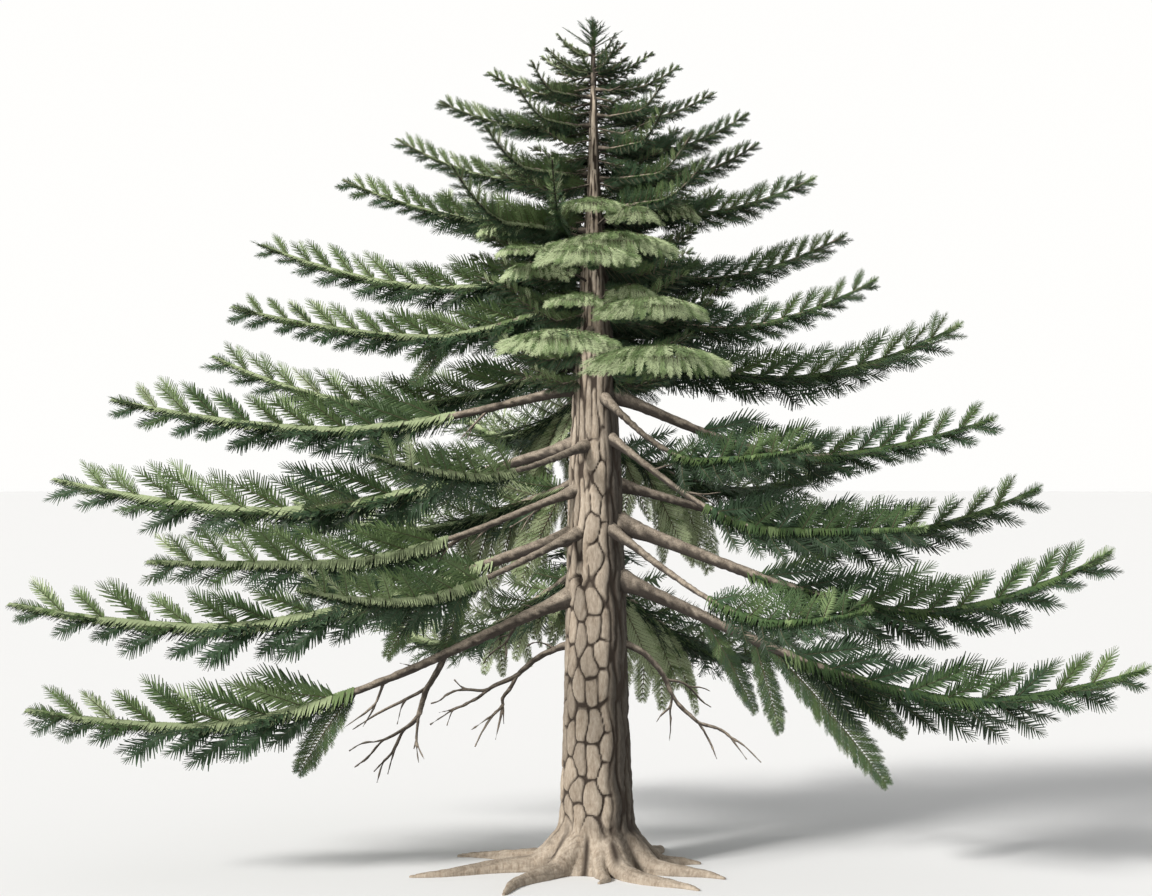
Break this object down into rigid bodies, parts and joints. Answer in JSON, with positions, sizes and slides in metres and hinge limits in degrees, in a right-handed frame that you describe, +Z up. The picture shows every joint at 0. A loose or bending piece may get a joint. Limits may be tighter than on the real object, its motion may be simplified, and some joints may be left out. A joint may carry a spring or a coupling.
{
  "type": "douglas fir tree",
  "caption": "Mature open-grown Douglas fir: a tapering plated trunk with surface roots, whorled boughs that sink and lift at the tip, and sprays of needles up to the leader.",
  "frame": {"origin": "middle of the flat cut under the trunk, at ground level", "axes": "+Z up the trunk, +X to the right of the picture's view, -Y towards its viewer"},
  "size_m": [19.5487, 13.5466, 15],
  "materials": {
    "trunk_bark": "thick plated bark, dry and rough",
    "limb_bark": "thin scaly bark, dry",
    "needles": "waxy green needles"
  },
  "bodies": {
    "root": {"dead_limb_left": "limb_bark", "dead_limb_right": "limb_bark", "leader_foliage": "needles", "tier10_left_foliage": "needles", "tier10_right_foliage": "needles", "tier11_left_foliage": "needles", "tier11_right_foliage": "needles", "tier12_left_foliage": "needles", "tier12_right_foliage": "needles", "tier13_right_foliage": "needles", "tier1_back_left_foliage": "needles", "tier1_back_right_foliage": "needles", "tier1_left_bough": "limb_bark", "tier1_left_foliage": "needles", "tier1_right_bough": "limb_bark", "tier1_right_foliage": "needles", "tier2_back_foliage": "needles", "tier2_front_left_bough": "limb_bark", "tier2_front_left_foliage": "needles", "tier2_front_right_bough": "limb_bark", "tier2_front_right_foliage": "needles", "tier2_left_bough": "limb_bark", "tier2_left_foliage": "needles", "tier2_right_bough": "limb_bark", "tier2_right_foliage": "needles", "tier3_back_foliage": "needles", "tier3_left_bough": "limb_bark", "tier3_left_foliage": "needles", "tier3_right_bough": "limb_bark", "tier3_right_foliage": "needles", "tier4_back_foliage": "needles", "tier4_front_left_bough": "limb_bark", "tier4_front_left_foliage": "needles", "tier4_front_right_bough": "limb_bark", "tier4_front_right_foliage": "needles", "tier4_left_bough": "limb_bark", "tier4_left_foliage": "needles", "tier5_back_foliage": "needles", "tier5_front_right_bough": "limb_bark", "tier5_front_right_foliage": "needles", "tier5_left_bough": "limb_bark", "tier5_left_foliage": "needles", "tier5_right_bough": "limb_bark", "tier5_right_foliage": "needles", "tier6_back_foliage": "needles", "tier6_front_left_foliage": "needles", "tier6_front_right_foliage": "needles", "tier6_left_foliage": "needles", "tier6_right_foliage": "needles", "tier7_back_foliage": "needles", "tier7_front_foliage": "needles", "tier7_left_foliage": "needles", "tier7_right_foliage": "needles", "tier8_back_foliage": "needles", "tier8_front_foliage": "needles", "tier8_left_foliage": "needles", "tier8_right_foliage": "needles", "tier9_left_foliage": "needles", "tier9_right_foliage": "needles", "trunk": "trunk_bark"}
  },
  "joints": []
}
